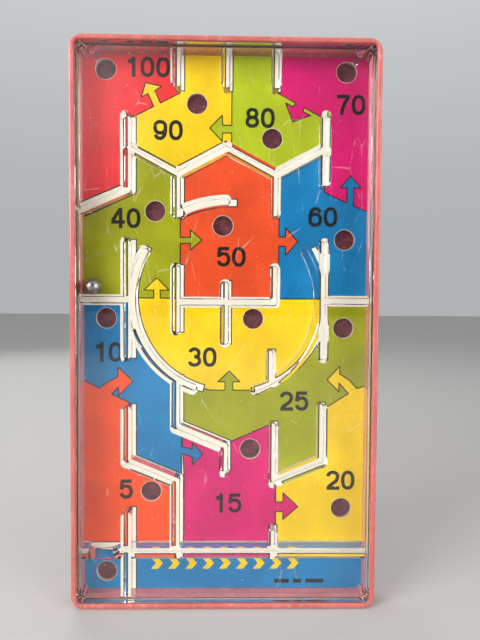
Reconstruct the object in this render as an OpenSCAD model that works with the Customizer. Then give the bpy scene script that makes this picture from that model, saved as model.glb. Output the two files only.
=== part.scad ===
// Pocket maze game: a steel ball rolls over a numbered card under a clear cover.
// The game is drawn lying flat (X across, Y up the card, Z towards the player)
// and is then stood upright on its bottom edge, with its face towards -Y.

/* [Case] */
// Width of the case across the front
case_w = 70; // [64:0.5:100]
// Height of the case as it stands
case_h = 130; // [129:0.5:180]
// Radius of the case's outer corners
case_corner_r = 3; // [2.5:0.1:5]
// Bevel along the case's outer edges, front and back
case_bevel = 0.4; // [0.1:0.05:0.8]
// Thickness of the tray's side walls
tray_wall_t = 1.1; // [0.9:0.05:2]
// Thickness of the tray's floor
tray_floor_t = 1.5; // [1:0.1:3]
// Corner radius of the pocket inside the tray
pocket_corner_r = 1; // [0.5:0.1:2]
// How far the tray's rim stands in front of the cover
rim_lip = 0.3; // [0.1:0.05:1]

/* [Card] */
// Thickness of the printed card
card_t = 1; // [0.6:0.1:2]
// Corner radius of the card
card_corner_r = 2; // [1:0.1:4]
// Gap between the card's edge and the tray
card_gap = 0.3; // [0.1:0.05:0.5]
// Diameter of the scoring holes
hole_d = 4.8; // [4.2:0.1:6]

/* [Ball] */
// Diameter of the steel ball
ball_d = 4; // [3:0.1:4.5]
// Room between the ball and the cover above it
ball_headroom = 0.8; // [0.4:0.1:2]
// Gap between the resting ball and the walls it lies against
ball_gap = 0.1; // [0.05:0.01:0.3]

/* [Cover] */
// Thickness of the clear cover's front
cover_t = 1.4; // [1:0.1:2.5]
// Thickness of the cover's skirt
skirt_t = 1; // [0.8:0.1:1.5]
// Radius of the skirt's inside corners
skirt_corner_r = 1.5; // [0.8:0.1:3]
// Gap between the cover's edge and the tray
cover_gap = 0.1; // [0.05:0.01:0.2]
// Gap between the skirt's lower edge and the card
skirt_gap = 0.05; // [0.02:0.01:0.2]
// Bevel on the cover's front edge
cover_bevel = 0.25; // [0.1:0.05:0.5]

/* [Maze walls] */
// Width of a maze wall
wall_w = 1.9; // [1.4:0.1:2.4]
// How much wider than its wall a round end or corner is
end_bead = 0.06; // [0.02:0.01:0.2]
// Gap between a wall's free edge and the card
wall_tip_gap = 0.3; // [0.1:0.05:1]
// Spacing of the maze's columns
lane = 11.3; // [10.8:0.1:12]
// Length of the three fingers under the top edge
finger_len = 7.5; // [4:0.5:14]
// Radius of the round bowl in the middle
bowl_r = 21.7; // [20.5:0.1:22.4]
// Radius of the curled wall above the middle
curl_r = 26; // [16:1:60]
// Diameter of a hold-down peg where it leaves the cover
peg_root_d = 2.2; // [1.6:0.1:3]
// Diameter of a hold-down peg at its free end
peg_tip_d = 1.3; // [0.8:0.1:1.6]

/* [Start pocket] */
// Height of the strip below the lowest wall
strip_h = 10.4; // [9:0.1:14]
// Width of the arch that lets the ball out of the start pocket
gate_w = 7.4; // [6:0.1:7.6]
// Room above the ball in that arch
gate_headroom = 0.4; // [0.2:0.05:0.6]

/* [Hidden] */
$fn = 96;

// How far fused shapes reach into each other, and cuts past a face
bite = 0.3;

// Levels from the back of the case to its front
card_z = tray_floor_t;
play_z = card_z + card_t;
window_z = play_z + ball_d + ball_headroom;
face_z = window_z + cover_t;
rim_z = face_z + rim_lip;
wall_tip_z = play_z + wall_tip_gap;
skirt_z = play_z + skirt_gap;

// Half sizes of the tray's pocket, the cover and the space inside the skirt
pocket_x = case_w / 2 - tray_wall_t;
pocket_y = case_h / 2 - tray_wall_t;
cover_x = pocket_x - cover_gap;
cover_y = pocket_y - cover_gap;
inner_x = cover_x - skirt_t;
inner_y = cover_y - skirt_t;

// Where a wall that joins the skirt ends: inside its thickness
join_x = inner_x + skirt_t / 2;
join_y = inner_y + skirt_t / 2;

// Columns of the maze and its rows, measured from the middle of the case
left_x = -2 * lane;
right_x = 2 * lane;
peak_y = 41;
valley_y = 35;
shelf_y = 6.2;
trident_y = 5.8;
lowest_y = -inner_y + strip_h;

// Fall of the slanting walls from one column to the next
slant_fall = 4.7;

// How far the ball rolls up its lane, and the shoulder wall that stays above it there
ball_roll = 15;
shoulder_y = shelf_y + ball_roll + 4.9 + 0.83 * ball_d + 1.05 * wall_w;

// Scoring holes: the outer lanes' are placed from the case's sides,
// the top ones' from its top and the start hole's from its bottom
outer_x = inner_x - 4.6;
top_hole_y = inner_y - 2.8;
start_hole_y = -inner_y + 3.7;
HOLES = [
    [-outer_x, top_hole_y], [-6.9, 52.3], [10.8, 44.4], [outer_x, top_hole_y],
    [-16.7, 27.2], [-0.7, 23.9], [outer_x, 20.8],
    [-outer_x, 1.9], [6.6, 1.9], [outer_x, -0.2],
    [-17.6, -39.7], [6.1, -29.4], [outer_x, -43.8], [-outer_x, start_hole_y]
];

// Hold-down pegs in the top corners, and the start pocket's arch
peg_x = inner_x - 2.7;
peg_y = inner_y - 0.6;
gate_x = (-inner_x + left_x - wall_w / 2) / 2;

// The ball's resting place: on the card, the left shelf and the left skirt
ball_x = -inner_x + ball_d / 2 + ball_gap;
ball_y = shelf_y + wall_w / 2 + ball_d / 2 + ball_gap;
ball_z = play_z + ball_d / 2 + ball_gap;

// Stands the flat game up: its bottom edge on Z = 0, its face towards -Y
module upright() {
    translate([0, rim_z / 2, case_h / 2]) rotate([90, 0, 0]) children();
}

// A flat rounded rectangle, given by its half sizes
module rounded_panel(half_x, half_y, r) {
    for (x = [-1, 1], y = [-1, 1])
        translate([x * (half_x - r), y * (half_y - r)]) circle(r);
    square([2 * half_x, 2 * (half_y - r)], center = true);
    square([2 * (half_x - r), 2 * half_y], center = true);
}

// The side view of a bevelled slab, from its middle out to half
module bevelled_side(half, z0, z1, low, high) {
    foot = low > 0 ? [[half - low, z0], [half, z0 + low]] : [[half, z0]];
    polygon(concat([[0, z0]], foot, [[half, z1 - high], [half - high, z1], [0, z1]]));
}

// One straight block of a bevelled slab, along Y
module bevelled_block(half_x, half_y, z0, z1, low, high) {
    translate([0, half_y, 0]) rotate([90, 0, 0]) linear_extrude(2 * half_y) {
        bevelled_side(half_x, z0, z1, low, high);
        mirror([1, 0]) bevelled_side(half_x, z0, z1, low, high);
    }
}

// A rounded slab whose front and back edges are bevelled all the way round
module bevelled_slab(half_x, half_y, r, z0, z1, low, high) {
    for (x = [-1, 1], y = [-1, 1])
        translate([x * (half_x - r), y * (half_y - r), 0])
            rotate_extrude() bevelled_side(r, z0, z1, low, high);
    bevelled_block(half_x, half_y - r, z0, z1, low, high);
    rotate([0, 0, 90]) bevelled_block(half_y, half_x - r, z0, z1, low, high);
}

// A straight stretch of wall from a to b, seen from the front
module wall_leg(a, b) {
    run = b - a;
    translate(a) rotate(atan2(run[1], run[0])) translate([0, -wall_w / 2])
        square([norm(run), wall_w]);
}

// A wall through the points given; a joined end runs into the skirt, uncapped
module wall(points, first_joined = false, last_joined = false) {
    last = len(points) - 1;
    for (i = [1 : last]) wall_leg(points[i - 1], points[i]);
    for (i = [(first_joined ? 1 : 0) : last - (last_joined ? 1 : 0)])
        translate(points[i]) circle(d = wall_w + end_bead);
}

// A wall along a circle's arc of under half a turn, with round ends
module arc_wall(centre, r, from, to) {
    reach = 2 * (r + wall_w) / cos((to - from) / 2);
    translate(centre) {
        intersection() {
            difference() {
                circle(r + wall_w / 2);
                circle(r - wall_w / 2);
            }
            polygon([[0, 0], reach * [cos(from), sin(from)], reach * [cos(to), sin(to)]]);
        }
        for (a = [from, to]) translate(r * [cos(a), sin(a)]) circle(d = wall_w + end_bead);
    }
}

// Centre of the circle of radius r that bows upwards over a and b
function arc_centre(a, b, r) =
    let (run = b - a, half = norm(run) / 2, unit = run / norm(run))
    (a + b) / 2 + sqrt(r * r - half * half) * [unit[1], -unit[0]];

// Fingers under the top edge, the two shoulders and the zigzag between them
module upper_walls() {
    for (x = [-lane, 0, lane])
        wall([[x, join_y], [x, inner_y - finger_len]], first_joined = true);
    wall([[left_x, 47.5], [left_x, shoulder_y], [-join_x, shoulder_y - slant_fall]],
        last_joined = true);
    wall([[right_x, 48], [right_x, 33.4]]);
    wall([[left_x, peak_y], [-lane, valley_y], [0, peak_y], [lane, valley_y],
        [right_x, peak_y]]);
    wall([[lane, valley_y], [lane, 26.3]]);
    foot = [-lane, 25.9];
    wall([[-lane, valley_y], foot]);
    curl_end = [0, 29];
    centre = arc_centre(foot, curl_end, curl_r);
    arc_wall(centre, curl_r, atan2(curl_end[1] - centre[1], curl_end[0] - centre[0]),
        atan2(foot[1] - centre[1], foot[0] - centre[0]));
}

// The bowl, the shelves beside it, the trident in it and the peg wall at its foot
module middle_walls() {
    for (side = [-1, 1]) {
        wall([[side * right_x, 19.3], [side * right_x, -6.8]]);
        wall([[side * right_x, shelf_y], [side * join_x, shelf_y]], last_joined = true);
    }
    arc_wall([0, shelf_y], bowl_r, 149, 250);
    arc_wall([0, shelf_y], bowl_r, -71, 31);
    wall([[-lane, trident_y], [lane, trident_y], [lane, 13.5]]);
    wall([[-lane, 13.5], [-lane, -0.6]]);
    wall([[0, 9.8], [0, -3.3]]);
    wall([[10.5, -6.2], [10.5, shelf_y - sqrt(bowl_r * bowl_r - 10.5 * 10.5)]]);
}

// The three stepped walls under the bowl
module lower_walls() {
    wall([[-lane, shelf_y - sqrt(bowl_r * bowl_r - lane * lane)], [-lane, -23.2],
        [0, -23.2 - slant_fall], [0, -33.4]]);
    wall([[left_x, -19.3], [left_x, -31.2], [-lane, -31.2 - slant_fall],
        [-lane, lowest_y]]);
    wall([[lane, -23.3], [lane, -31.2 - slant_fall], [right_x, -31.2],
        [right_x, -18.8]]);
    wall([[lane, lowest_y + 4.1], [lane, lowest_y]]);
}

// The lowest wall and the start pocket's own wall
module start_walls() {
    wall([[-join_x, lowest_y], [join_x, lowest_y]], true, true);
    wall([[left_x, lowest_y + 8.5], [left_x, -join_y]], last_joined = true);
}

// All the maze's walls, cut through where the ball leaves the start pocket
module maze() {
    gate_z = play_z + ball_d + gate_headroom - gate_w / 2;
    difference() {
        translate([0, 0, wall_tip_z]) linear_extrude(window_z + bite - wall_tip_z) {
            upper_walls();
            middle_walls();
            lower_walls();
            start_walls();
        }
        translate([gate_x, lowest_y + wall_w, gate_z]) rotate([90, 0, 0])
            cylinder(d = gate_w, h = 2 * wall_w);
        translate([gate_x, lowest_y, play_z]) linear_extrude(gate_z - play_z)
            square([gate_w, 2 * wall_w], center = true);
    }
}

// A tapered peg that keeps the card down
module hold_down_peg(x) {
    translate([x, peg_y, skirt_z])
        cylinder(d1 = peg_tip_d, d2 = peg_root_d, h = window_z + bite - skirt_z);
}

// Coloured tray: a floor with a wall all round, open at the front
module back_tray() {
    color([0.84, 0.25, 0.26]) upright() difference() {
        bevelled_slab(case_w / 2, case_h / 2, case_corner_r, 0, rim_z, case_bevel, case_bevel);
        translate([0, 0, tray_floor_t]) linear_extrude(rim_z)
            rounded_panel(pocket_x, pocket_y, pocket_corner_r);
    }
}

// Card with its die-cut scoring holes
module printed_card() {
    color([0.98, 0.94, 0.86]) upright() translate([0, 0, card_z]) linear_extrude(card_t)
        difference() {
            rounded_panel(pocket_x - card_gap, pocket_y - card_gap, card_corner_r);
            for (p = HOLES) translate(p) circle(d = hole_d);
        }
}

// Clear cover: front, skirt, maze walls and pegs in one moulding
module clear_cover() {
    color([0.86, 0.9, 0.92, 0.4]) upright() {
        bevelled_slab(cover_x, cover_y, pocket_corner_r, window_z, face_z, 0, cover_bevel);
        translate([0, 0, skirt_z]) linear_extrude(window_z + bite - skirt_z) difference() {
            rounded_panel(cover_x, cover_y, pocket_corner_r);
            rounded_panel(inner_x, inner_y, skirt_corner_r);
        }
        maze();
        for (side = [-1, 1]) hold_down_peg(side * peg_x);
    }
}

// Loose steel ball, at rest on the left shelf
module steel_ball() {
    color([0.62, 0.63, 0.65]) upright() translate([ball_x, ball_y, ball_z]) sphere(d = ball_d);
}

back_tray();
printed_card();
clear_cover();
steel_ball();
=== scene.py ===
"""Pocket ball maze: a red tray, a printed card, a clear maze cover and a steel ball."""
from math import asin, copysign, cos, hypot, pi, radians, sin

import bmesh
import bpy
from bpy.props import FloatProperty, FloatVectorProperty, IntProperty, PointerProperty
from mathutils import Matrix, Vector
from mathutils.geometry import delaunay_2d_cdt


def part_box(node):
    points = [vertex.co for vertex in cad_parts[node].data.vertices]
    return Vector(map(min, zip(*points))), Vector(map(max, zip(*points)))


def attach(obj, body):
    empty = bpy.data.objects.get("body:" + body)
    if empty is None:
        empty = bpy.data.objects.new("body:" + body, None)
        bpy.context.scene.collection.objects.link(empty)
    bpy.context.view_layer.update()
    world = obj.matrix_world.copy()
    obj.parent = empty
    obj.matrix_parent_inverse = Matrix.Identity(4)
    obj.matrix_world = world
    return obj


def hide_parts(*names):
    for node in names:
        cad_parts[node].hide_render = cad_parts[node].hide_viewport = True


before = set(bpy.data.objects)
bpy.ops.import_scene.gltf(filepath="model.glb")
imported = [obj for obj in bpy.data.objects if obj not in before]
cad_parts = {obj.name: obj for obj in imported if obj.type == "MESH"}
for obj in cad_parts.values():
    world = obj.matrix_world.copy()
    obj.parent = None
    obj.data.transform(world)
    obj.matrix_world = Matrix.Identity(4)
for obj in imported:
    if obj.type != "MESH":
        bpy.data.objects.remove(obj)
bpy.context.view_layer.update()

bl_info = {
    "name": "Pocket ball maze",
    "version": (1, 0, 0),
    "blender": (4, 5, 0),
    "location": "View3D > Sidebar > Ball maze",
    "description": "Makes the tray, card, clear cover and ball of a pocket maze game",
    "category": "Object",
}

MM = 0.001

# The frame's own boxes: the case's middle and its levels, from the back to the rim
TRAY_LO, TRAY_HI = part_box("back_tray")
CARD_LO, CARD_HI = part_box("printed_card")
COVER_LO, COVER_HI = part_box("clear_cover")
BALL_LO, BALL_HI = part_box("steel_ball")
BACK_Y = TRAY_HI.y
MID_Z = (TRAY_LO.z + TRAY_HI.z) / 2
CASE_X, CASE_Y = TRAY_HI.x, (TRAY_HI.z - TRAY_LO.z) / 2
CARD_X, CARD_Y = CARD_HI.x, (CARD_HI.z - CARD_LO.z) / 2
COVER_X, COVER_Y = COVER_HI.x, (COVER_HI.z - COVER_LO.z) / 2
RIM = BACK_Y - TRAY_LO.y
FLOOR = BACK_Y - CARD_HI.y
PLAY = BACK_Y - CARD_LO.y
SKIRT_FOOT = BACK_Y - COVER_HI.y
FACE = BACK_Y - COVER_LO.y

# The game lying flat, X across, Y up the card and Z towards the player, stood up
STAND = Matrix(((1, 0, 0, 0), (0, 0, -1, BACK_Y), (0, 1, 0, MID_Z), (0, 0, 0, 1)))

# The maze's lines in millimetres from the middle of the case
LANE = 11.3
SIDE_X, SIDE_Y = COVER_X / MM - 0.5, COVER_Y / MM - 0.5
INNER_Y = COVER_Y / MM - 1
LOWEST = -INNER_Y + 10.4
SHELF, BOWL_R = 6.2, 21.7
LEFT, RIGHT = -2 * LANE, 2 * LANE
SHOULDER = 31.4
GATE_X, GATE_TOP = -28.2, 4.4

# The print's edge and corner, in millimetres, and the least area of a face that is kept flat
PRINT_X, PRINT_Y, PRINT_CORNER = CARD_X / MM - 0.12, CARD_Y / MM - 0.12, 1.88
FLAT_FACE = 1e-3


def on_bowl(x):
    """Height of the bowl's lower wall at x."""
    return SHELF - (BOWL_R * BOWL_R - x * x) ** 0.5


# Straight walls; a point that runs into the skirt has a third value, 1
WALLS = [
    [(-LANE, SIDE_Y, 1), (-LANE, INNER_Y - 7.5)],
    [(0, SIDE_Y, 1), (0, INNER_Y - 7.5)],
    [(LANE, SIDE_Y, 1), (LANE, INNER_Y - 7.5)],
    [(LEFT, 47.5), (LEFT, SHOULDER), (-SIDE_X, SHOULDER - 4.7, 1)],
    [(RIGHT, 48), (RIGHT, 33.4)],
    [(LEFT, 41), (-LANE, 35), (0, 41), (LANE, 35), (RIGHT, 41)],
    [(LANE, 35), (LANE, 26.3)],
    [(-LANE, 35), (-LANE, 25.9)],
    [(LEFT, 19.3), (LEFT, -6.8)],
    [(RIGHT, 19.3), (RIGHT, -6.8)],
    [(LEFT, SHELF), (-SIDE_X, SHELF, 1)],
    [(RIGHT, SHELF), (SIDE_X, SHELF, 1)],
    [(-LANE, 5.8), (LANE, 5.8), (LANE, 13.5)],
    [(-LANE, 13.5), (-LANE, -0.6)],
    [(0, 9.8), (0, -3.3)],
    [(10.5, -6.2), (10.5, on_bowl(10.5))],
    [(-LANE, on_bowl(LANE)), (-LANE, -23.2), (0, -27.9), (0, -33.4)],
    [(LEFT, -19.3), (LEFT, -31.2), (-LANE, -35.9), (-LANE, LOWEST)],
    [(LANE, -23.3), (LANE, -35.9), (RIGHT, -31.2), (RIGHT, -18.8)],
    [(LANE, LOWEST + 4.1), (LANE, LOWEST)],
    [(-SIDE_X, LOWEST, 1), (SIDE_X, LOWEST, 1)],
    [(LEFT, LOWEST + 8.5), (LEFT, -SIDE_Y, 1)],
]

# Curved walls: centre, radius, first and last angle
ARCS = [
    ((0, SHELF), BOWL_R, 149, 250),
    ((0, SHELF), BOWL_R, -71, 31),
    ((1.052, 3.021), 26, 92.32, 118.36),
]

# Scoring holes
HOLES = [
    (-28.2, 60.0), (-6.9, 52.3), (10.8, 44.4), (28.2, 60.0), (-16.7, 27.2), (-0.7, 23.9),
    (28.2, 20.8), (-28.2, 1.9), (6.6, 1.9), (28.2, -0.2), (-17.6, -39.7), (6.1, -29.4),
    (28.2, -43.8), (-28.2, -59.1),
]

# Printed numbers: text, middle of the number
NUMBERS = [
    ("100", -18.5, 60.6), ("90", -13.7, 46.1), ("80", 7.9, 49.2), ("70", 29.3, 52.5),
    ("40", -23.6, 25.5), ("50", 1.3, 16.6), ("60", 23.0, 26.2), ("10", -27.9, -6.2),
    ("30", -5.5, -7.3), ("25", 16.6, -17.8), ("5", -23.6, -39.2), ("15", 0.7, -42.6),
    ("20", 28.0, -37.0),
]

# Printed fields, lowest first: ink, outline
FIELDS = [
    ("red", [(-35, 65), (-10.9, 65), (-10.9, 54.7), (-21, 49.5), (-22, 49.4), (-22, 31.4),
        (-27.3, 28.5), (-35, 25)]),
    ("yellow", [(-10.9, 65), (1.25, 65), (1.25, 41.5), (-10.7, 35.5), (-22, 41.6), (-22, 49.4),
        (-21, 49.5), (-10.9, 54.7)]),
    ("lime", [(1.25, 65), (12.2, 65), (12.2, 54.9), (22.3, 49.6), (23.2, 48), (23.2, 41.6),
        (11.9, 35.5), (1.25, 41.3)]),
    ("magenta", [(12.2, 65), (35, 65), (35, 27.1), (31.8, 28.2), (25.6, 30.9), (23.2, 32.1),
        (23.2, 48), (22.3, 49.6), (12.2, 54.9)]),
    ("olive", [(-22, 41.6), (-10.7, 35.5), (-10.8, 6.4), (-35, 6.4), (-35, 25), (-27.3, 28.5),
        (-22, 31.2)]),
    ("scarlet", [(-10.75, 35.5), (0.6, 41.6), (12.6, 35.2), (12.6, 6.9), (-10.75, 6.9)]),
    ("blue", [(12.6, 35.5), (23.2, 41.6), (23.2, 32.1), (25.6, 30.9), (31.8, 28.2), (35, 27.1),
        (35, 6.4), (12.6, 6.4)]),
    ("blue", [(-35, 6.6), (-10.3, 6.6), (-10.3, -35.6), (-21.3, -31), (-21.3, -19), (-29.6, -15),
        (-35, -12.2)]),
    ("olive", [(-10.3, 6.4), (35, 6.4), (35, -13.6), (31.5, -14.8), (24.1, -19.5), (23.2, -19),
        (23.2, -31.5), (12.1, -36.2), (12.1, -22.9), (1.8, -27.5), (-10.3, -22.5)]),
    ("yellow", [(35, -13.6), (31.5, -14.8), (24.1, -19.5), (23.2, -19), (23.2, -31.5),
        (12.4, -36.2), (12.4, -53), (35, -53)]),
    ("magenta", [(-10.3, -22.8), (1.2, -27.8), (12.1, -22.9), (12.4, -53), (-9.7, -53),
        (-9.7, -36)]),
    ("orange", [(-35, -12.2), (-29.6, -15), (-21.3, -19), (-21.3, -31), (-9.7, -35.8), (-9.7, -53),
        (-35, -53)]),
    ("blue", [(-35, -53), (35, -53), (35, -66), (-35, -66)]),
]

# The score bowl's yellow lower half: centre, radius, height of its top and of its foot
BOWL_FIELD = (1.2, 7.0, 22.7, 6.7, -15.2)

# Arrows: ink, outline; each starts inside its own field
ARROWS = [
    ("yellow", [(-19.0, 57.0), (-15.2, 56.2), (-16.8, 55.2), (-15.4, 52.2), (-17.0, 51.4),
        (-18.4, 54.5), (-19.9, 53.7)]),
    ("lime", [(-3.9, 46.7), (-1.0, 49.7), (-0.9, 47.4), (1.6, 47.4), (1.6, 45.6), (-0.9, 45.6),
        (-1.0, 43.7)]),
    ("magenta", [(16.6, 53.2), (18.5, 52.2), (18.0, 50.8), (19.8, 49.9), (15.6, 48.4),
        (13.9, 52.7), (15.7, 51.9)]),
    ("blue", [(29.5, 35.9), (32.0, 33.1), (30.3, 33.1), (30.3, 28.3), (28.7, 28.9), (28.7, 33.1),
        (27.1, 33.1)]),
    ("olive", [(-11.4, 21.1), (-8.4, 21.1), (-8.4, 22.8), (-5.6, 20.5), (-8.4, 18.1), (-8.4, 19.7),
        (-11.4, 19.7)]),
    ("scarlet", [(12.2, 21.4), (14.2, 21.4), (14.2, 23.5), (17.1, 20.3), (14.2, 17.0),
        (14.2, 19.2), (12.2, 19.2)]),
    ("yellow", [(-16.3, 11.5), (-13.4, 8.6), (-15.5, 8.6), (-15.5, 6.2), (-17.0, 6.2),
        (-17.0, 8.6), (-19.3, 8.6)]),
    ("olive", [(1.0, -10.6), (3.6, -13.2), (1.9, -13.2), (1.9, -15.6), (0.0, -15.6), (0.0, -13.2),
        (-1.7, -13.2)]),
    ("yellow", [(24.5, -12.6), (27.5, -9.4), (27.5, -11.2), (29.9, -12.7), (32.1, -15.2),
        (30.0, -16.3), (27.4, -13.4), (27.4, -15.5)]),
    ("magenta", [(12.0, -42.3), (14.2, -42.3), (14.2, -40.1), (17.8, -43.5), (14.2, -46.6),
        (14.2, -44.7), (12.0, -44.7)]),
    ("blue", [(-10.6, -28.8), (-7.7, -29.5), (-7.7, -28.0), (-5.2, -30.7), (-7.7, -33.3),
        (-7.7, -31.4), (-10.6, -30.4)]),
    ("orange", [(-30.3, -15.1), (-27.5, -13.1), (-25.5, -12.1), (-25.5, -9.8), (-21.9, -13.1),
        (-25.4, -16.7), (-25.4, -14.6), (-27.2, -16.4)]),
]

# The printed paths' own curves: centre, radius, first and last angle
BAR_ARCS = [
    ((1.2, 7.0), 22.7, 148.8, 254),
    ((1.2, 7.0), 22.7, -75, 31.5),
    ((1.7, 2.3), 27.0, 88, 115),
]


def prop(maker, name, text, default, **more):
    """One user setting of the add-on."""
    return maker(name=name, description=text, default=default, **more)


def length(name, text, millimetres):
    """A length setting, kept in metres."""
    return prop(FloatProperty, name, text, millimetres * MM, unit="LENGTH", min=0, precision=5)


def colour(name, text, default):
    """A colour setting, in linear values."""
    return prop(FloatVectorProperty, name, text, linear(default), subtype="COLOR", size=3,
                min=0, max=1)


def linear(rgb):
    """Linear values of a colour given in 0 to 255."""
    part = [v / 255 for v in rgb]
    return tuple(v / 12.92 if v <= 0.04045 else ((v + 0.055) / 1.055) ** 2.4 for v in part)


def shade(tint, factor, lift=0.0):
    """A colour made lighter or darker."""
    return tuple(min(1, v * factor + lift) for v in tint)


class TraySettings(bpy.types.PropertyGroup):
    """The red tray"""
    wall: length("Wall", "Thickness of the tray's side walls", 1.1)
    corner: length("Corner", "Radius of the tray's outer corners", 3)
    pocket_corner: length("Pocket corner", "Corner radius inside the tray", 1)
    bevel: length("Bevel", "Rounding of the tray's outer edges", 0.4)
    plastic: colour("Plastic", "Colour of the tray", (236, 132, 124))
    # the floor colour is painted shade: the tray's red plastic made dark burgundy where the card
    # keeps the light out
    floor: colour("Floor", "Colour of the tray's floor under the card", (86, 22, 36))


class CardSettings(bpy.types.PropertyGroup):
    """The printed card"""
    bar: length("Path", "Width of the pale paths printed under the maze walls", 1.75)
    line: length("Line", "Width of the black outlines", 0.27)
    ink: length("Ink", "Thickness of the printed layer", 0.015)
    hole: length("Hole", "Diameter of the scoring holes", 4.8)
    digit: length("Digit", "Height of the printed numbers", 4.7)
    lip: length("Lip", "Width of the pale edge that the cutter leaves round a hole", 0.08)
    board: colour("Board", "Colour of the bare board", (236, 229, 211))
    red: colour("Red", "Ink of the 100 field", (236, 40, 44))
    yellow: colour("Yellow", "Ink of the 90, 30 and 20 fields", (248, 206, 0))
    lime: colour("Lime", "Ink of the 80 field", (172, 188, 14))
    magenta: colour("Magenta", "Ink of the 70 and 15 fields", (212, 8, 106))
    olive: colour("Olive", "Ink of the 40 and 25 fields", (156, 160, 0))
    scarlet: colour("Scarlet", "Ink of the 50 field", (226, 76, 28))
    blue: colour("Blue", "Ink of the 60 and 10 fields", (0, 120, 176))
    orange: colour("Orange", "Ink of the 5 field", (250, 76, 2))
    black: colour("Black", "Ink of the lines and numbers", (24, 23, 18))


class CoverSettings(bpy.types.PropertyGroup):
    """The clear cover"""
    front: length("Front", "Thickness of the cover's front", 1.4)
    skirt: length("Skirt", "Thickness of the skirt", 1)
    skirt_step: length("Skirt step", "How far down the skirt is at its full thickness", 2.1)
    skirt_foot: length("Skirt foot", "Thickness of the skirt below that", 0.4)
    skirt_corner: length("Skirt corner", "Inside corner radius of the skirt", 1.5)
    corner: length("Corner", "Corner radius of the cover", 1)
    bevel: length("Bevel", "Bevel on the cover's front edge", 0.25)
    root: length("Wall root", "Width of a maze wall where it leaves the front", 2.5)
    tip: length("Wall tip", "Width of a maze wall at its free edge", 1.5)
    gap: length("Wall gap", "Gap between a wall's free edge and the card", 0.3)
    edge: length("Wall edge", "Rounding of a wall's free edge", 0.12)
    peg_root: length("Peg root", "Diameter of a hold-down peg at the front", 2.2)
    peg_tip: length("Peg tip", "Diameter of a hold-down peg at its end", 1.3)
    gate: length("Gate", "Width of the arch out of the start pocket", 7.4)
    sides: prop(IntProperty, "Sides", "Sides of a wall's round end", 32, min=8, max=64)


class StageSettings(bpy.types.PropertyGroup):
    """The floor, the lamps and the view"""
    floor: colour("Floor", "Colour of the floor", (200, 198, 195))
    lens: prop(FloatProperty, "Lens", "Focal length for a 36 mm high frame", 27.06, min=1)


class MazeSettings(bpy.types.PropertyGroup):
    """Everything a user may change"""
    tray: PointerProperty(type=TraySettings)
    card: PointerProperty(type=CardSettings)
    cover: PointerProperty(type=CoverSettings)
    stage: PointerProperty(type=StageSettings)


# --- node trees


class Wire:
    """A socket that takes part in Python's own arithmetic."""

    def __init__(self, maker, socket):
        self.maker, self.socket = maker, socket

    def calc(self, operation, first, second):
        return self.maker.add("ShaderNodeMath", {"operation": operation}, {0: first, 1: second})

    def __add__(self, other):
        return self.calc("ADD", self, other)

    __radd__ = __add__

    def __sub__(self, other):
        return self.calc("SUBTRACT", self, other)

    def __rsub__(self, other):
        return self.calc("SUBTRACT", other, self)

    def __mul__(self, other):
        return self.calc("MULTIPLY", self, other)

    __rmul__ = __mul__

    def __truediv__(self, other):
        return self.calc("DIVIDE", self, other)

    def __rtruediv__(self, other):
        return self.calc("DIVIDE", other, self)

    def step(self, low, high):
        """0 below low, 1 above high and smooth between them."""
        return self.maker.add("ShaderNodeMapRange", {"interpolation_type": "SMOOTHSTEP"},
                              {"Value": self, "From Min": low, "From Max": high})


class Tree:
    """Adds nodes to a node tree."""

    def __init__(self, tree):
        self.tree = tree

    def add(self, kind, settings=None, inputs=None, out=0):
        """A node of that kind, with its settings, its inputs' values or links, and one output."""
        made = self.tree.nodes.new(kind)
        for name, value in (settings or {}).items():
            setattr(made, name, value)
        for name, value in (inputs or {}).items():
            for one in value if isinstance(value, list) else [value]:
                if isinstance(one, Wire):
                    self.tree.links.new(one.socket, made.inputs[name])
                else:
                    made.inputs[name].default_value = one
        self.last = made
        return Wire(self, made.outputs[out]) if made.outputs else None


class Finish(Tree):
    """A material that is built node by node."""

    def __init__(self, name):
        self.material = bpy.data.materials.new(name)
        self.material.use_nodes = True
        self.material.node_tree.nodes.clear()
        super().__init__(self.material.node_tree)
        self.place = self.add("ShaderNodeTexCoord", out="Object")

    def noise(self, scale, detail=4, roughness=0.5, stretch=(1, 1, 1), twist=0.0):
        """Noise from 0 to 1 at a scale given in metres per blotch."""
        at = self.add("ShaderNodeMapping", None, {"Vector": self.place, "Scale": stretch})
        return self.add("ShaderNodeTexNoise", None,
                        {"Vector": at, "Scale": 1 / scale, "Detail": detail,
                         "Roughness": roughness, "Distortion": twist}, out="Fac")

    def cells(self, scale, feature="F1", stretch=(1, 1, 1), turn=(0, 0, 0)):
        """Distance in a cell pattern."""
        at = self.add("ShaderNodeMapping", None,
                      {"Vector": self.place, "Scale": stretch, "Rotation": turn})
        return self.add("ShaderNodeTexVoronoi", {"feature": feature},
                        {"Vector": at, "Scale": 1 / scale}, out="Distance")

    def blend(self, amount, first, second):
        """Two colours mixed by an amount."""
        self.add("ShaderNodeMix", {"data_type": "RGBA"})
        made = self.last
        for name, value in (("Factor", amount), ("A", first), ("B", second)):
            socket = next(i for i in made.inputs if i.name == name and i.enabled)
            if isinstance(value, Wire):
                self.tree.links.new(value.socket, socket)
            else:
                socket.default_value = (*value, 1.0)
        return Wire(self, next(o for o in made.outputs if o.enabled))

    def bump(self, height, distance, strength=1.0):
        """A normal from a height, in metres."""
        return self.add("ShaderNodeBump", None,
                        {"Height": height, "Distance": distance, "Strength": strength})

    def gloss(self, **sockets):
        """The main shader."""
        names = {k.replace("_", " "): v for k, v in sockets.items()}
        for k, v in names.items():
            if "Color" in k and isinstance(v, tuple):
                names[k] = (*v, 1.0)
        return self.add("ShaderNodeBsdfPrincipled", None, names)

    def done(self, shader):
        self.add("ShaderNodeOutputMaterial", None, {"Surface": shader})
        return self.material


# --- finishes


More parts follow.
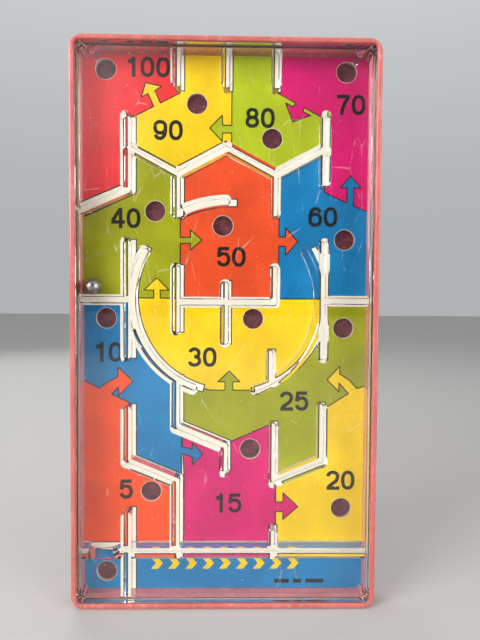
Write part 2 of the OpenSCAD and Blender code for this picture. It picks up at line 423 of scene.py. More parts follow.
def tray_plastic(tint):
    """Moulded see-through red plastic: cloudy, handled, paler where it is scuffed."""
    f = Finish("tray_plastic")
    cloud = f.noise(0.009, 5, 0.6)
    streak = f.noise(0.0016, 6, 0.65, stretch=(1, 1, 0.22))
    scuff = f.noise(0.0022, 8, 0.75).step(0.56, 0.72)
    pale = shade(tint, 0.55, 0.45)
    base = f.blend(cloud.step(0.35, 0.7) * 0.55, shade(tint, 0.72), tint)
    base = f.blend(streak.step(0.5, 0.75) * 0.3, base, pale)
    base = f.blend(scuff * 0.4, base, pale)
    grain = f.noise(0.0003, 3) * 0.4 + f.noise(0.003, 3)
    return f.done(f.gloss(
        Base_Color=base, Roughness=0.18 + scuff * 0.25 + cloud * 0.08, IOR=1.55,
        Subsurface_Weight=0.55, Subsurface_Radius=(1.0, 0.35, 0.3), Subsurface_Scale=0.0025,
        Coat_Weight=0.3, Coat_Roughness=0.08, Normal=f.bump(grain, 0.00006, 0.5)))


def tray_floor(tint):
    """The tray's floor, painted dark burgundy as shade where the card keeps the light out."""
    f = Finish("tray_floor")
    cloud = f.noise(0.0012, 6, 0.65, twist=0.6)
    fleck = f.noise(0.00035, 4, 0.7).step(0.6, 0.78)
    base = f.blend(cloud.step(0.35, 0.7), shade(tint, 0.75), shade(tint, 1.9, 0.012))
    base = f.blend(fleck * 0.35, base, linear((176, 120, 118)))
    return f.done(f.gloss(Base_Color=base, Roughness=0.32 + cloud * 0.25,
                          Normal=f.bump(cloud, 0.0001, 0.6)))


def bare_board(tint):
    """Ivory board: short fibres, foxing and a little dirt; its cut edges below the printed face
    are darker and redder, partly the raw edge's tone, mostly painted shade and red bounce light in
    the holes.
    """
    f = Finish("bare_board")
    fibre = f.noise(0.0004, 5, 0.7, stretch=(1, 1, 2.2))
    stain = f.noise(0.006, 4, 0.6).step(0.52, 0.78)
    base = f.blend(stain * 0.4, tint, linear((232, 214, 180)))
    base = f.blend(fibre.step(0.45, 0.75) * 0.22, base, linear((214, 200, 176)))
    # painted shade and red bounce light: below the printed face, in the holes and at the card's
    # edges, the board turns darker and redder
    depth = f.add("ShaderNodeSeparateXYZ", None, {0: f.place}, out=1)
    cut = depth.step(CARD_LO.y + 0.05 * MM, CARD_LO.y + 0.25 * MM)
    base = f.blend(cut * 0.85, base, linear((150, 84, 84)))
    return f.done(f.gloss(Base_Color=base, Roughness=0.55 + fibre * 0.2,
                          Normal=f.bump(fibre, 0.00003, 0.6)))


def printed_ink(name, tint, wear=1.0):
    """Printed ink: uneven laydown, pinholes down to the board, handling marks, gloss varnish."""
    f = Finish("ink_" + name)
    bloom = f.noise(0.012, 3, 0.55)
    mottle = f.noise(0.0006, 5, 0.7)
    screen = f.cells(0.00032)
    speck = f.noise(0.0005, 2, 0.4).step(0.735, 0.78)
    scratch = f.cells(0.006, "DISTANCE_TO_EDGE", stretch=(1, 1, 0.3), turn=(0, 0.5, 0))
    scuffed = (1 - scratch.step(0.0, 0.012)) * f.noise(0.004, 3).step(0.5, 0.66)
    light = shade(tint, 1.08)
    base = f.blend(bloom.step(0.3, 0.7), shade(tint, 0.80), light)
    base = f.blend(mottle.step(0.4, 0.68) * 0.30, base, shade(tint, 0.62))
    base = f.blend(screen.step(0.1, 0.55) * 0.14, base, light)
    base = f.blend(speck * 0.55 * wear, base, linear((252, 246, 232)))
    base = f.blend(scuffed * 0.28 * wear, base, linear((250, 240, 226)))
    return f.done(f.gloss(
        Base_Color=base, Roughness=0.34 + mottle * 0.2 + scuffed * 0.2,
        Coat_Weight=0.08, Coat_Roughness=0.22, Specular_IOR_Level=0.2,
        Normal=f.bump(mottle, 0.00002, 0.5)))


def clear_plastic():
    """Clear moulded styrene: faint waves, hairline scratches and dust; lamps shine through it."""
    f = Finish("clear_plastic")
    wave = f.noise(0.010, 2, 0.4)
    hair = f.cells(0.011, "DISTANCE_TO_EDGE", stretch=(1, 1, 0.25), turn=(0, 0.7, 0))
    hair = (1 - hair.step(0.0, 0.006)) * f.noise(0.006, 2).step(0.45, 0.6)
    dust = f.noise(0.0011, 2, 0.5).step(0.74, 0.8)
    shader = f.gloss(
        Base_Color=f.blend(dust * 0.4 + hair * 0.1, (0.985, 0.99, 0.99), (0.93, 0.93, 0.92)),
        Roughness=0.02 + dust * 0.35 + hair * 0.2, IOR=1.56, Transmission_Weight=1.0,
        Specular_IOR_Level=0.10,
        Normal=f.bump(wave + hair * 0.02, 0.00012, 0.35))
    lit = f.add("ShaderNodeBsdfTransparent", None, {"Color": (0.88, 0.88, 0.88, 1)})
    shadow = f.add("ShaderNodeLightPath", out="Is Shadow Ray")
    return f.done(f.add("ShaderNodeMixShader", None, {0: shadow, 1: shader, 2: lit}))


def ball_steel():
    """Dulled steel shot: fine scratches, darker oxide blotches."""
    f = Finish("ball_steel")
    oxide = f.noise(0.0011, 6, 0.65, twist=0.4)
    fine = f.noise(0.00018, 5, 0.7, stretch=(1, 3, 1))
    base = f.blend(oxide.step(0.38, 0.68), (0.24, 0.235, 0.22), (0.62, 0.61, 0.585))
    return f.done(f.gloss(Base_Color=base, Metallic=1.0, Roughness=0.20 + oxide * 0.28,
                          Normal=f.bump(fine + oxide, 0.00004, 0.5)))


def floor_paint(tint):
    """A plain pale floor."""
    f = Finish("floor_paint")
    base = f.blend(f.noise(0.25, 3) * 0.3, tint, shade(tint, 0.93))
    return f.done(f.gloss(Base_Color=base, Roughness=0.6))


# --- shapes


def holder(name, data):
    """An object in the scene, at the origin."""
    made = bpy.data.objects.new(name, data)
    bpy.context.scene.collection.objects.link(made)
    return made


def keep(name, mesh, finishes, body, node=None, smooth=30):
    """A finished piece at the origin, riding on its body, its one large face kept flat."""
    made = holder(name, mesh)
    for finish in finishes:
        mesh.materials.append(finish)
    if smooth:
        mesh.shade_smooth()
        mesh.set_sharp_from_angle(angle=radians(smooth))
        for face in mesh.polygons:
            if face.area > FLAT_FACE:
                face.use_smooth = False
    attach(made, body)
    if node:
        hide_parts(node)


def rounded(half_x, half_y, r, z, steps=12):
    """A ring of points round a rounded rectangle, anticlockwise from the front."""
    ring = []
    for quarter, (sx, sy) in enumerate(((1, 1), (-1, 1), (-1, -1), (1, -1))):
        for i in range(steps + 1):
            a = (quarter + i / steps) * pi / 2
            ring.append((sx * (half_x - r) + r * cos(a), sy * (half_y - r) + r * sin(a), z))
    return ring


def loft(bm, rings, close_first=False, close_last=False, material=0):
    """Faces between rings of points, each given as a list of places."""
    made = [[bm.verts.new(p) for p in ring] for ring in rings]
    for low, high in zip(made, made[1:]):
        for i in range(len(low)):
            j = (i + 1) % len(low)
            bm.faces.new((low[i], low[j], high[j], high[i])).material_index = material
    if close_first:
        bm.faces.new(reversed(made[0])).material_index = material
    if close_last:
        bm.faces.new(made[-1]).material_index = material
    return made


def plain_mesh(bm, name, turn=True):
    """The mesh that was being made, with its faces turned outwards."""
    if turn:
        bmesh.ops.recalc_face_normals(bm, faces=bm.faces)
    mesh = bpy.data.meshes.new(name)
    bm.to_mesh(mesh)
    bm.free()
    return mesh


def data_mesh(name, points, edges=(), faces=()):
    """A mesh from plain lists."""
    mesh = bpy.data.meshes.new(name)
    mesh.from_pydata(points, edges, faces)
    return mesh


def fillet(inset, height, r, from_angle, to_angle, steps=4):
    """Offsets and heights round a rounded edge."""
    out = []
    for i in range(steps + 1):
        a = radians(from_angle + (to_angle - from_angle) * i / steps)
        out.append((inset - r * cos(a), height + r * sin(a)))
    return out


def tray_mesh(size):
    """The tray: floor and walls in one, every edge softened."""
    b, w = size.bevel, size.wall
    rows = fillet(b, b, b, -90, 0)
    rows += fillet(b, RIM - b, b, 0, 90)
    lip, root = 0.25 * MM, 0.3 * MM
    turns = [radians(a) for a in (0, 30, 60, 90)]
    rows += [(w - lip + lip * sin(a), RIM - lip + lip * cos(a)) for a in turns]
    rows += [(w + root - root * cos(a), FLOOR + root - root * sin(a)) for a in turns]
    bm = bmesh.new()
    rings = []
    for inset, z in rows:
        share = max(0.0, min(1.0, (inset - b) / (w - b)))
        r = (size.corner - inset) * (1 - share) + size.pocket_corner * share
        if inset > w:
            r = size.pocket_corner - (inset - w) * 0.9
        rings.append(rounded(CASE_X - inset, CASE_Y - inset, max(r, 0.1 * MM), z))
    made = loft(bm, rings, close_first=True)
    # the pocket floor takes the second finish, the floor's painted shade
    bm.faces.new(made[-1]).material_index = 1
    bmesh.ops.remove_doubles(bm, verts=bm.verts, dist=1e-7)
    bmesh.ops.recalc_face_normals(bm, faces=bm.faces)
    bm.transform(STAND)
    return plain_mesh(bm, "case_tray", turn=False)


def strip(a, b, half, before=0.0, after=0.0):
    """A straight band's outline from a to b, longer by before and after."""
    run = Vector(b[:2]) - Vector(a[:2])
    along = run.normalized()
    side = Vector((-along.y, along.x)) * half
    p, q = Vector(a[:2]) - along * before, Vector(b[:2]) + along * after
    return [tuple(p - side), tuple(q - side), tuple(q + side), tuple(p + side)]


def disc(x, y, r, sides=24, start=0.0):
    """A round outline."""
    return [(x + r * cos(start + 2 * pi * i / sides), y + r * sin(start + 2 * pi * i / sides))
            for i in range(sides)]


def arc_points(centre, r, first, last, steps):
    """Points along a circle's arc, angles in degrees."""
    return [(centre[0] + r * cos(radians(first + (last - first) * i / steps)),
             centre[1] + r * sin(radians(first + (last - first) * i / steps)))
            for i in range(steps + 1)]


def ribbon(points, half, closed=False):
    """Band pieces along a line, meeting in mitres."""
    pts = [Vector(p[:2]) for p in points]
    n = len(pts)
    left, right = [], []
    for i, p in enumerate(pts):
        back = pts[i - 1] if closed or i else None
        ahead = pts[(i + 1) % n] if closed or i < n - 1 else None
        d0 = (p - back).normalized() if back is not None else (ahead - p).normalized()
        d1 = (ahead - p).normalized() if ahead is not None else d0
        along = (d0 + d1).normalized()
        side = Vector((-along.y, along.x)) * half / max(0.35, along.dot(d1))
        left.append(tuple(p + side))
        right.append(tuple(p - side))
    count = n if closed else n - 1
    return [[right[i], right[(i + 1) % n], left[(i + 1) % n], left[i]] for i in range(count)]


def oval(cx, cy, rx, ry, first, last, steps=14, square=1.0):
    """Points along an oval, angles in degrees; square below 1 fills its corners."""
    out = []
    for i in range(steps + 1):
        a = radians(first + (last - first) * i / steps)
        c, s = cos(a), sin(a)
        out.append((cx + copysign(rx * abs(c) ** square, c),
                    cy + copysign(ry * abs(s) ** square, s)))
    return out


def six():
    """The strokes of a six, which upside down are a nine's."""
    return [oval(0.0, -0.135, 0.26, 0.275, 0, 360, 26, 0.88),
            [(0.235, 0.22), (0.2, 0.33), (0.1, 0.4), (-0.02, 0.41), (-0.13, 0.36),
             (-0.215, 0.24), (-0.258, 0.06), (-0.262, -0.12)]]


# Each digit's strokes down their middle, in heights of the digit; a ring ends where it starts
DIGITS = {
    "0": [oval(0, 0, 0.26, 0.41, 0, 360, 30, 0.86)],
    "1": [[(0.09, -0.5), (0.09, 0.5)], [(0.09, 0.25), (-0.19, 0.25)],
          [(0.09, 0.42), (0.0, 0.31), (-0.19, 0.27)]],
    "2": [oval(0, 0.155, 0.255, 0.255, 172, 8, 12, 0.9)
          + [(0.235, 0.07), (0.15, -0.06), (-0.05, -0.2), (-0.2, -0.33), (-0.235, -0.41)],
          [(-0.31, -0.41), (0.345, -0.41)]],
    "3": [oval(0, 0.2, 0.225, 0.21, 168, -88, 14, 0.95),
          oval(0, -0.19, 0.26, 0.22, 92, -168, 16, 0.95)],
    "4": [[(0.13, -0.5), (0.13, 0.5)], [(0.1, 0.44), (-0.27, -0.13)],
          [(-0.345, -0.2), (0.34, -0.2)]],
    "5": [[(-0.24, 0.41), (0.29, 0.41)], [(-0.19, 0.45), (-0.245, -0.02)],
          oval(0, -0.125, 0.26, 0.285, 150, -165, 20, 0.92)],
    "6": six(),
    "7": [[(-0.33, 0.41), (0.33, 0.41)],
          [(0.28, 0.4), (0.1, 0.13), (-0.03, -0.2), (-0.08, -0.5)]],
    "8": [oval(0, 0.215, 0.215, 0.195, 0, 360, 22, 0.92),
          oval(0, -0.195, 0.255, 0.215, 0, 360, 24, 0.92)],
    "9": [[(-x, -y) for x, y in points] for points in six()],
}


def number_shapes(height):
    """The pieces of every printed number, in millimetres."""
    out = []
    for text, cx, cy in NUMBERS:
        pitch = height * 0.775
        for i, digit in enumerate(text):
            x = cx + (i - (len(text) - 1) / 2) * pitch
            for points in DIGITS[digit]:
                ring = hypot(points[0][0] - points[-1][0], points[0][1] - points[-1][1]) < 1e-6
                placed = [(x + px * height, cy + py * height) for px, py in points]
                out += ribbon(placed[:-1] if ring else placed, height * 0.09, ring)
    return out


def printed(x, y):
    """Where the print puts a point of the maze: it lies a little right of the moulding."""
    return x + 0.6, y * 1.012 + 0.1


def bar_shapes(width):
    """The pale paths under the maze walls, in millimetres."""
    half, out = width / 2, []
    for wall in WALLS:
        points = [printed(*p[:2]) for p in wall]
        before, after = (2 if len(p) == 3 else half for p in (wall[0], wall[-1]))
        for i, (a, b) in enumerate(zip(points, points[1:])):
            out.append(strip(a, b, half, 0 if i else before, 0 if i < len(wall) - 2 else after))
        out += [disc(*p, half, 16, pi / 16) for p in points[1:-1]]
    for arc in BAR_ARCS:
        out += ribbon(arc_points(*arc, 40), half)
    return out


def partition(shapes):
    """Triangles of all the shapes, each with the number of the last shape that covers it."""
    verts, faces = [], []
    for _, outline in shapes:
        area = sum(a[0] * b[1] - b[0] * a[1] for a, b in zip(outline, outline[1:] + outline[:1]))
        start = len(verts)
        verts += [Vector(p) for p in (outline if area > 0 else outline[::-1])]
        faces.append(list(range(start, len(verts))))
    out = delaunay_2d_cdt(verts, [], faces, 1, 1e-5)
    return out[0], [(tri, max(inside)) for tri, inside in zip(out[2], out[5]) if inside]


def print_shapes(card):
    """The ink and the outline of every printed shape, lowest first."""
    board = [p[:2] for p in rounded(PRINT_X, PRINT_Y, PRINT_CORNER, 0)]
    bx, by, r, top, foot = BOWL_FIELD
    first, last = asin((by - top) / r), asin((by - foot) / r)
    rim = [(bx + r * cos(a), by - r * sin(a))
           for a in [first + (last - first) * i / 24 for i in range(25)]]
    bowl = rim + [(2 * bx - x, y) for x, y in rim[::-1]]
    return [("bare", board), *FIELDS, ("yellow", bowl), *ARROWS,
            *(("bare", path) for path in bar_shapes(card.bar / MM))]


def outlines(shapes, half):
    """Black bands along every border between two inks."""
    places, tris = partition(shapes)
    beside = {}
    for tri, shape in tris:
        for a, b in zip(tri, (*tri[1:], tri[0])):
            beside.setdefault((min(a, b), max(a, b)), set()).add(shapes[shape][0])
    bands, corners = [], set()
    for (a, b), pair in beside.items():
        if len(pair) == 2 and (places[a] - places[b]).length > 1e-4:
            bands.append(strip(places[a], places[b], half))
            corners |= {a, b}
    return bands + [disc(*places[v], half, 8, pi / 8) for v in corners]


def title_shapes():
    """A row of plain wedges and three short rules in the bottom strip."""
    marks = []
    for i in range(9):
        x = -17.6 + i * 4.1
        marks.append(("yellow", [(x, -55.9), (x + 1.7, -55.9), (x + 2.9, -57.3),
                                 (x + 1.7, -58.7), (x, -58.7), (x + 1.2, -57.3)]))
    for x, w in ((12.2, 3.6), (16.8, 2.0), (19.8, 4.4)):
        marks.append(("black", [(x, -61.2), (x + w, -61.2), (x + w, -62.2), (x, -62.2)]))
    return marks


def print_mesh(card, order):
    """The printed layer: one thin closed sheet, one ink to each of its faces."""
    shapes = print_shapes(card)
    bands = outlines(shapes, card.line / MM / 2)
    hole = card.hole / 2 / MM + card.lip / MM
    shapes += title_shapes()
    shapes += [("black", band) for band in bands + number_shapes(card.digit / MM)]
    shapes += [(None, disc(x, y, hole, 48)) for x, y in HOLES]
    places, tris = partition(shapes)

    def on_card(tri):
        x, y = (abs(sum(places[v][axis] for v in tri) / 3) for axis in (0, 1))
        past = max(x - PRINT_X + PRINT_CORNER, 0), max(y - PRINT_Y + PRINT_CORNER, 0)
        return hypot(*past) < PRINT_CORNER

    bm = bmesh.new()
    low, high = PLAY + 0.002 * MM, PLAY + card.ink
    tops, feet = {}, {}

    def corner(v):
        if v not in tops:
            x, y = places[v].x * MM, places[v].y * MM
            tops[v], feet[v] = bm.verts.new((x, y, high)), bm.verts.new((x, y, low))
        return v

    edges = {}
    for tri, shape in tris:
        ink = shapes[shape][0]
        if ink is None or not on_card(tri):
            continue
        index = order.index(ink)
        tri = [corner(v) for v in tri]
        bm.faces.new([tops[v] for v in tri]).material_index = index
        bm.faces.new([feet[v] for v in reversed(tri)]).material_index = index
        for a, b in zip(tri, (*tri[1:], tri[0])):
            edges[(a, b)] = index
    for (a, b), index in edges.items():
        if (b, a) not in edges:
            bm.faces.new((feet[a], feet[b], tops[b], tops[a])).material_index = index
    bm.transform(STAND)
    return plain_mesh(bm, "card_print", turn=False)


def cover_blank(size):
    """The cover's front with its skirt, before the maze walls are added."""
    bm = bmesh.new()
    under = FACE - size.front
    inner_x, inner_y = COVER_X - size.skirt, COVER_Y - size.skirt
    bevel, turn, foot = size.bevel, size.bevel * 0.3, 0.08 * MM
    thin_x, thin_y = COVER_X - size.skirt_foot, COVER_Y - size.skirt_foot
    step = under - size.skirt_step
    rings = [
        rounded(inner_x, inner_y, size.skirt_corner, under),
        rounded(inner_x + foot, inner_y + foot, size.skirt_corner, step + 2 * foot),
        rounded(inner_x + 2 * foot, inner_y + 2 * foot, size.skirt_corner, step),
        rounded(thin_x - foot, thin_y - foot, size.skirt_corner, step - foot),
        rounded(thin_x, thin_y, size.skirt_corner, SKIRT_FOOT),
        rounded(COVER_X - foot, COVER_Y - foot, size.corner, SKIRT_FOOT),
        rounded(COVER_X, COVER_Y, size.corner, SKIRT_FOOT + foot),
        rounded(COVER_X, COVER_Y, size.corner, FACE - bevel),
        rounded(COVER_X - turn, COVER_Y - turn, size.corner - turn, FACE - turn),
        rounded(COVER_X - bevel, COVER_Y - bevel, size.corner - bevel, FACE),
    ]
    made = loft(bm, rings, close_last=True)
    bm.faces.new(made[0])
    return plain_mesh(bm, "cover_blank")


def gate_cutter(size):
    """The arch that is cut through the lowest wall."""
    r, middle, foot = size.gate / 2, GATE_X * MM, PLAY - 1 * MM
    spring = PLAY + GATE_TOP * MM - r
    arch = [(middle - r * cos(pi * i / 32), spring + r * sin(pi * i / 32)) for i in range(33)]
    profile = [(middle - r, foot), *arch, (middle + r, foot)]
    bm = bmesh.new()
    loft(bm, [[(x, y * MM, z) for x, z in profile] for y in (LOWEST - 2, LOWEST + 2)],
         close_first=True, close_last=True)
    return plain_mesh(bm, "gate_cutter")


def maze_lines():
    """The maze walls' middle lines, with the points that get a round end."""
    verts, edges, capped = [], [], []

    def line(points, flags):
        start = len(verts)
        verts.extend((x * MM, y * MM, 0) for x, y in points)
        capped.extend(flags)
        edges.extend((start + i, start + i + 1) for i in range(len(points) - 1))

    for wall in WALLS:
        for a, b in zip(wall, wall[1:]):
            line([a[:2], b[:2]], [len(a) == 2, len(b) == 2])
    for arc in ARCS:
        line(arc_points(*arc, 48), [i in (0, 48) for i in range(49)])
    mesh = data_mesh("maze_lines", verts, edges)
    flag = mesh.attributes.new("capped", "BOOLEAN", "POINT")
    flag.data.foreach_set("value", capped)
    return mesh


# --- geometry nodes


class Shape(Tree):
    """A geometry node tree with named inputs."""

    def __init__(self, name, inputs):
        group = bpy.data.node_groups.new(name, "GeometryNodeTree")
        super().__init__(group)
        face = group.interface
        face.new_socket("Geometry", in_out="INPUT", socket_type="NodeSocketGeometry")
        face.new_socket("Geometry", in_out="OUTPUT", socket_type="NodeSocketGeometry")
        self.keys = {}
        for label, kind in inputs.items():
            socket = face.new_socket(label, in_out="INPUT", socket_type="NodeSocket" + kind)
            self.keys[label] = socket.identifier
        self.start = group.nodes.new("NodeGroupInput")

    def shape(self, kind, settings=None, inputs=None, out=0):
        """A geometry node."""
        return self.add("GeometryNode" + kind, settings, inputs, out)

    def given(self, label):
        return Wire(self, self.start.outputs[label])

    def lifted(self, shape, height):
        """A shape moved up."""
        up = self.add("ShaderNodeCombineXYZ", None, {"Z": height})
        return self.shape("Transform", None, {"Geometry": shape, "Translation": up})

    def given_shape(self, label):
        """The shape of an object that the tree is given."""
        return self.shape("ObjectInfo", None, {"Object": self.given(label)}, out="Geometry")

    def done(self, shape):
        real = self.shape("RealizeInstances", None, {"Geometry": shape})
        dressed = self.shape("SetMaterial", None,
                             {"Geometry": real, "Material": self.given("Finish")})
        end = self.tree.nodes.new("NodeGroupOutput")
        self.tree.links.new(dressed.socket, end.inputs[0])
        return self

    def run(self, source, values, name):
        """The tree's result on a mesh, as a plain mesh stood up in the frame."""
        carrier = holder(name + "_lines", source)
        modifier = carrier.modifiers.new("Shape", "NODES")
        modifier.node_group = self.tree
        for label, value in values.items():
            modifier[self.keys[label]] = value
        view = bpy.context.evaluated_depsgraph_get()
        made = bpy.data.meshes.new_from_object(carrier.evaluated_get(view), depsgraph=view)
        carrier.modifiers.remove(modifier)
        bpy.data.objects.remove(carrier)
        made.name = name
        made.materials.clear()
        made.transform(STAND)
        if not made.polygons:
            raise RuntimeError(name + " came out empty")
        return made


def maze_tree():
    """Tapered walls along the maze's lines, with round ends, fused to the cover's blank."""
    t = Shape("maze_walls", {
        "Root width": "Float", "Tip width": "Float", "Root level": "Float",
        "Tip level": "Float", "Edge": "Float", "Bead": "Float", "Sides": "Int",
        "Blank": "Object", "Pegs": "Object", "Gate": "Object", "Finish": "Material"})
    root, tip, edge = t.given("Root width"), t.given("Tip width"), t.given("Edge")
    high, low = t.given("Root level"), t.given("Tip level")
    depth = high - low
    lines = t.shape("MeshToCurve", None, {"Mesh": t.given("Geometry")})
    lines = t.shape("SetCurveNormal", {"mode": "Z_UP"}, {"Curve": lines})
    section = t.shape("CurvePrimitiveQuadrilateral", {"mode": "TRAPEZOID"},
                      {"Height": depth, "Bottom Width": root, "Top Width": tip, "Offset": 0.0})
    section = t.shape("FilletCurve", {"mode": "POLY"},
                      {"Curve": section, "Radius": edge, "Count": 1})
    legs = t.shape("CurveToMesh", None,
                   {"Curve": lines, "Profile Curve": section, "Fill Caps": True})
    legs = t.lifted(legs, (high + low) * 0.5)

    bead, sides = t.given("Bead") * 0.5, t.given("Sides")
    r_tip, r_root = tip * 0.5 + bead, root * 0.5 + bead
    slope = (r_root - r_tip) / depth
    r_edge = r_tip + slope * edge
    chamfer = t.shape("MeshCone", {"fill_type": "NONE"},
                      {"Vertices": sides, "Radius Top": r_edge, "Radius Bottom": r_tip - edge,
                       "Depth": edge})
    body = t.shape("MeshCone", {"fill_type": "NONE"},
                   {"Vertices": sides, "Radius Top": r_root, "Radius Bottom": r_edge,
                    "Depth": depth - edge})
    body = t.lifted(body, edge)
    foot = t.shape("MeshCircle", {"fill_type": "NGON"},
                   {"Vertices": sides, "Radius": r_tip - edge})
    foot = t.shape("FlipFaces", None, {"Mesh": foot})
    head = t.shape("MeshCircle", {"fill_type": "NGON"}, {"Vertices": sides, "Radius": r_root})
    head = t.lifted(head, depth)
    end = t.shape("JoinGeometry", None, {"Geometry": [chamfer, body, foot, head]})
    end = t.shape("MergeByDistance", None, {"Geometry": end, "Distance": 1e-6})
    flag = t.shape("InputNamedAttribute", {"data_type": "BOOLEAN"},
                   {"Name": "capped"}, out="Attribute")
    tips = t.shape("MeshToPoints", None, {"Mesh": t.given("Geometry"), "Selection": flag})
    ends = t.shape("InstanceOnPoints", None, {"Points": tips, "Instance": end})
    ends = t.lifted(t.shape("RealizeInstances", None, {"Geometry": ends}), low + bead)

    blank, pegs, gate = (t.given_shape(label) for label in ("Blank", "Pegs", "Gate"))
    fused = t.shape("MeshBoolean", {"operation": "UNION", "solver": "EXACT"},
                    {"Mesh 2": [blank, legs, ends, pegs], "Self Intersection": True})
    cut = t.shape("MeshBoolean", {"operation": "DIFFERENCE", "solver": "EXACT"},
                  {"Mesh 1": fused, "Mesh 2": gate})
    return t.done(cut)


def lip_tree():
    """A low pale edge round each scoring hole, as the cutter leaves it."""
    t = Shape("hole_lips", {
        "Radius": "Float", "Width": "Float", "Height": "Float", "Fray": "Float",
        "Seed": "Int", "Finish": "Material"})
    ring = t.shape("CurvePrimitiveCircle", None, {"Resolution": 56, "Radius": t.given("Radius")})
    section = t.shape("CurvePrimitiveQuadrilateral", {"mode": "RECTANGLE"},
                      {"Width": t.given("Width"), "Height": t.given("Height")})
    ring = t.shape("CurveToMesh", None, {"Curve": ring, "Profile Curve": section})
    dots = t.shape("MeshToPoints", None, {"Mesh": t.given("Geometry")})
    spin = t.add("FunctionNodeRandomValue", {"data_type": "FLOAT"},
                 {2: 0.0, 3: 2 * pi, "Seed": t.given("Seed")}, out=1)
    turn = t.add("ShaderNodeCombineXYZ", None, {"Z": spin})
    rings = t.shape("InstanceOnPoints", None, {"Points": dots, "Instance": ring, "Rotation": turn})
    rings = t.shape("RealizeInstances", None, {"Geometry": rings})
    rough = t.add("ShaderNodeTexNoise", None, {"Scale": 2600.0, "Detail": 3.0}, out="Color")
    middle = t.add("ShaderNodeVectorMath", {"operation": "SUBTRACT"},
                   {0: rough, 1: (0.5, 0.5, 0.5)})
    push = t.add("ShaderNodeVectorMath", {"operation": "SCALE"},
                 {0: middle, "Scale": t.given("Fray")})
    rings = t.shape("SetPosition", None, {"Geometry": rings, "Offset": push})
    return t.done(rings)


def peg_mesh(size):
    """The two tapered pegs that keep the card down."""
    bm = bmesh.new()
    high, low = FACE - size.front + 0.3 * MM, SKIRT_FOOT
    x, y = COVER_X - size.skirt - 2.7 * MM, COVER_Y - size.skirt - 0.6 * MM
    for side in (-1, 1):
        rows = [(size.peg_tip / 2 - 0.15 * MM, low), (size.peg_tip / 2, low + 0.15 * MM),
                (size.peg_root / 2, high)]
        loft(bm, [[(side * x + px, y + py, z) for px, py in disc(0, 0, r, 32)]
                  for r, z in rows], close_first=True, close_last=True)
    return plain_mesh(bm, "cover_pegs")


# --- operators


class MAZE_OT_tray(bpy.types.Operator):
    """Make the red tray"""
    bl_idname = "maze.tray"
    bl_label = "Tray"

    def execute(self, context):
        size = context.scene.ball_maze.tray
        keep("case_tray", tray_mesh(size), [tray_plastic(size.plastic), tray_floor(size.floor)],
             "case", "back_tray", smooth=40)
        return {"FINISHED"}


class MAZE_OT_card(bpy.types.Operator):
    """Finish the board, print it and edge its holes"""
    bl_idname = "maze.card"
    bl_label = "Card"

    def execute(self, context):
        card = context.scene.ball_maze.card
        board = bare_board(card.board)
        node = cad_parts["printed_card"]
        node.data.materials.clear()
        node.data.materials.append(board)
        names = ["red", "yellow", "lime", "magenta", "olive", "scarlet", "blue", "orange"]
        inks = [printed_ink(n, getattr(card, n)) for n in names]
        inks.append(printed_ink("black", card.black, 0.5))
        keep("card_print", print_mesh(card, ["bare"] + names + ["black"]), [board] + inks,
             "case", smooth=0)
        middles = data_mesh("hole_middles",
                            [(x * MM, y * MM, PLAY + 0.01 * MM) for x, y in HOLES])
        lips = lip_tree().run(middles, {
            "Radius": card.hole / 2 + card.lip * 0.45, "Width": card.lip * 0.8,
            "Height": 0.05 * MM, "Fray": 0.05 * MM, "Seed": 3, "Finish": board,
        }, "card_hole_lips")
        keep("card_hole_lips", lips, [board], "case")
        return {"FINISHED"}


class MAZE_OT_cover(bpy.types.Operator):
    """Mould the clear cover with its maze walls"""
    bl_idname = "maze.cover"
    bl_label = "Clear cover"

    def execute(self, context):
        size = context.scene.ball_maze.cover
        clear = clear_plastic()
        parts = [holder("cover_blank", cover_blank(size)), holder("cover_pegs", peg_mesh(size)),
                 holder("gate_cutter", gate_cutter(size))]
        mesh = maze_tree().run(maze_lines(), {
            "Root width": size.root, "Tip width": size.tip,
            "Root level": FACE - size.front + 0.3 * MM, "Tip level": PLAY + size.gap,
            "Edge": size.edge, "Bead": 0.04 * MM, "Sides": size.sides, "Blank": parts[0],
            "Pegs": parts[1], "Gate": parts[2], "Finish": clear,
        }, "clear_maze_cover")
        for part in parts:
            bpy.data.objects.remove(part)
        keep("clear_maze_cover", mesh, [clear], "case", "clear_cover", smooth=14)
        return {"FINISHED"}


class MAZE_OT_ball(bpy.types.Operator):
    """Make the steel ball"""
    bl_idname = "maze.ball"
    bl_label = "Ball"

    def execute(self, context):
        middle, r = (BALL_LO + BALL_HI) / 2, (BALL_HI.x - BALL_LO.x) / 2
        bm = bmesh.new()
        bmesh.ops.create_icosphere(bm, subdivisions=5, radius=r,
                                   matrix=Matrix.Translation(middle))
        keep("steel_shot", plain_mesh(bm, "steel_shot", turn=False), [ball_steel()],
             "ball", "steel_ball", smooth=80)
        return {"FINISHED"}


def studio_world():
    """Even light from above and behind, dim in front, with one soft window up on the left."""
    world = bpy.data.worlds.new("studio")
    world.use_nodes = True
    world.node_tree.nodes.clear()
    t = Tree(world.node_tree)
    way = t.add("ShaderNodeTexCoord", out="Generated")
    ahead, up = (t.add("ShaderNodeSeparateXYZ", None, {0: way}, out=i) for i in (1, 2))
    window = t.add("ShaderNodeVectorMath", {"operation": "DOT_PRODUCT"},
                   {0: way, 1: (-0.42, -0.80, 0.42)}, out="Value")
    light = (0.06 + up.step(0.1, 0.9) * 0.3 + ahead.step(0.0, 0.6) * 0.40
             + window.step(0.93, 1.0) * 0.9)
    shader = t.add("ShaderNodeBackground", None,
                   {"Color": (0.95, 0.97, 1.0, 1), "Strength": light})
    t.add("ShaderNodeOutputWorld", None, {"Surface": shader})
    return world


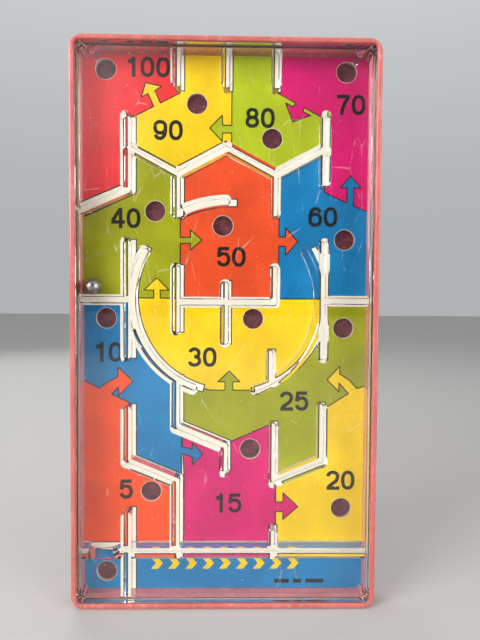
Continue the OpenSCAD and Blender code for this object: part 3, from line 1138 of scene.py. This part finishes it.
class MAZE_OT_stage(bpy.types.Operator):
    """Set the floor, the lamps and the camera"""
    bl_idname = "maze.stage"
    bl_label = "Stage"

    def execute(self, context):
        scene, stage = context.scene, context.scene.ball_maze.stage
        mesh = data_mesh("studio_floor", [(-3, -3, 0), (3, -3, 0), (3, 3, 0), (-3, 3, 0)],
                         faces=[(0, 1, 2, 3)])
        mesh.materials.append(floor_paint(stage.floor))
        floor = holder("studio_floor", mesh)
        for name, spot, aim, size, power in LAMPS:
            lamp = bpy.data.lights.new(name, "AREA")
            lamp.energy, lamp.size = power, size
            made = holder(name, lamp)
            made.location = spot
            made.rotation_euler = (Vector(aim) - Vector(spot)).to_track_quat("-Z", "Y").to_euler()
        scene.world = studio_world()
        view = bpy.data.cameras.new("player_view")
        view.sensor_fit, view.sensor_height, view.lens = "VERTICAL", 36, stage.lens
        view.clip_start, view.clip_end = 0.001, 20
        camera = holder("player_view", view)
        turn = Matrix.Identity(4)
        for angle, axis in zip(VIEW_TURN, "XYZ"):
            turn @= Matrix.Rotation(angle, 4, axis)
        camera.matrix_world = Matrix.Translation(VIEW_PLACE) @ turn
        scene.camera = camera
        scene.view_settings.view_transform = "Standard"
        return {"FINISHED"}


# The player's eye: its place, and its turns about X, Y and Z
VIEW_PLACE, VIEW_TURN = (0.00158, -0.11314, 0.07042), (pi / 2 - 0.0332, -0.0167, 0.0062)

# Soft lamps: name, place, aim, size and power
LAMPS = [
    ("window", (-0.42, -0.34, 0.28), (0, 0, 0.07), 0.30, 2.7),
    ("fill", (0.46, -0.32, 0.18), (0, 0, 0.06), 0.35, 1.55),
    ("top", (0.06, -0.12, 0.60), (0, 0, 0.05), 0.35, 0.4),
    ("behind", (-0.25, 0.45, 0.35), (0, 0, 0.06), 0.40, 0.8),
]


class MAZE_PT_panel(bpy.types.Panel):
    """Buttons for the pieces and their sizes"""
    bl_idname = "MAZE_PT_panel"
    bl_label = "Ball maze"
    bl_space_type = "VIEW_3D"
    bl_region_type = "UI"
    bl_category = "Ball maze"

    def draw(self, context):
        settings = context.scene.ball_maze
        for operator, group in zip(PIECES, ("tray", "card", "cover", None, "stage")):
            box = self.layout.box()
            box.operator(operator.bl_idname)
            if group:
                for name in getattr(settings, group).__annotations__:
                    box.prop(getattr(settings, group), name)


PIECES = (MAZE_OT_tray, MAZE_OT_card, MAZE_OT_cover, MAZE_OT_ball, MAZE_OT_stage)
CLASSES = (TraySettings, CardSettings, CoverSettings, StageSettings, MazeSettings,
           *PIECES, MAZE_PT_panel)


def register():
    for one in CLASSES:
        bpy.utils.register_class(one)
    bpy.types.Scene.ball_maze = PointerProperty(type=MazeSettings)


def unregister():
    del bpy.types.Scene.ball_maze
    for one in reversed(CLASSES):
        bpy.utils.unregister_class(one)


def main():
    """Make every piece."""
    register()
    for piece in PIECES:
        group, name = piece.bl_idname.split(".")
        getattr(getattr(bpy.ops, group), name)()


if __name__ == "__main__":
    main()
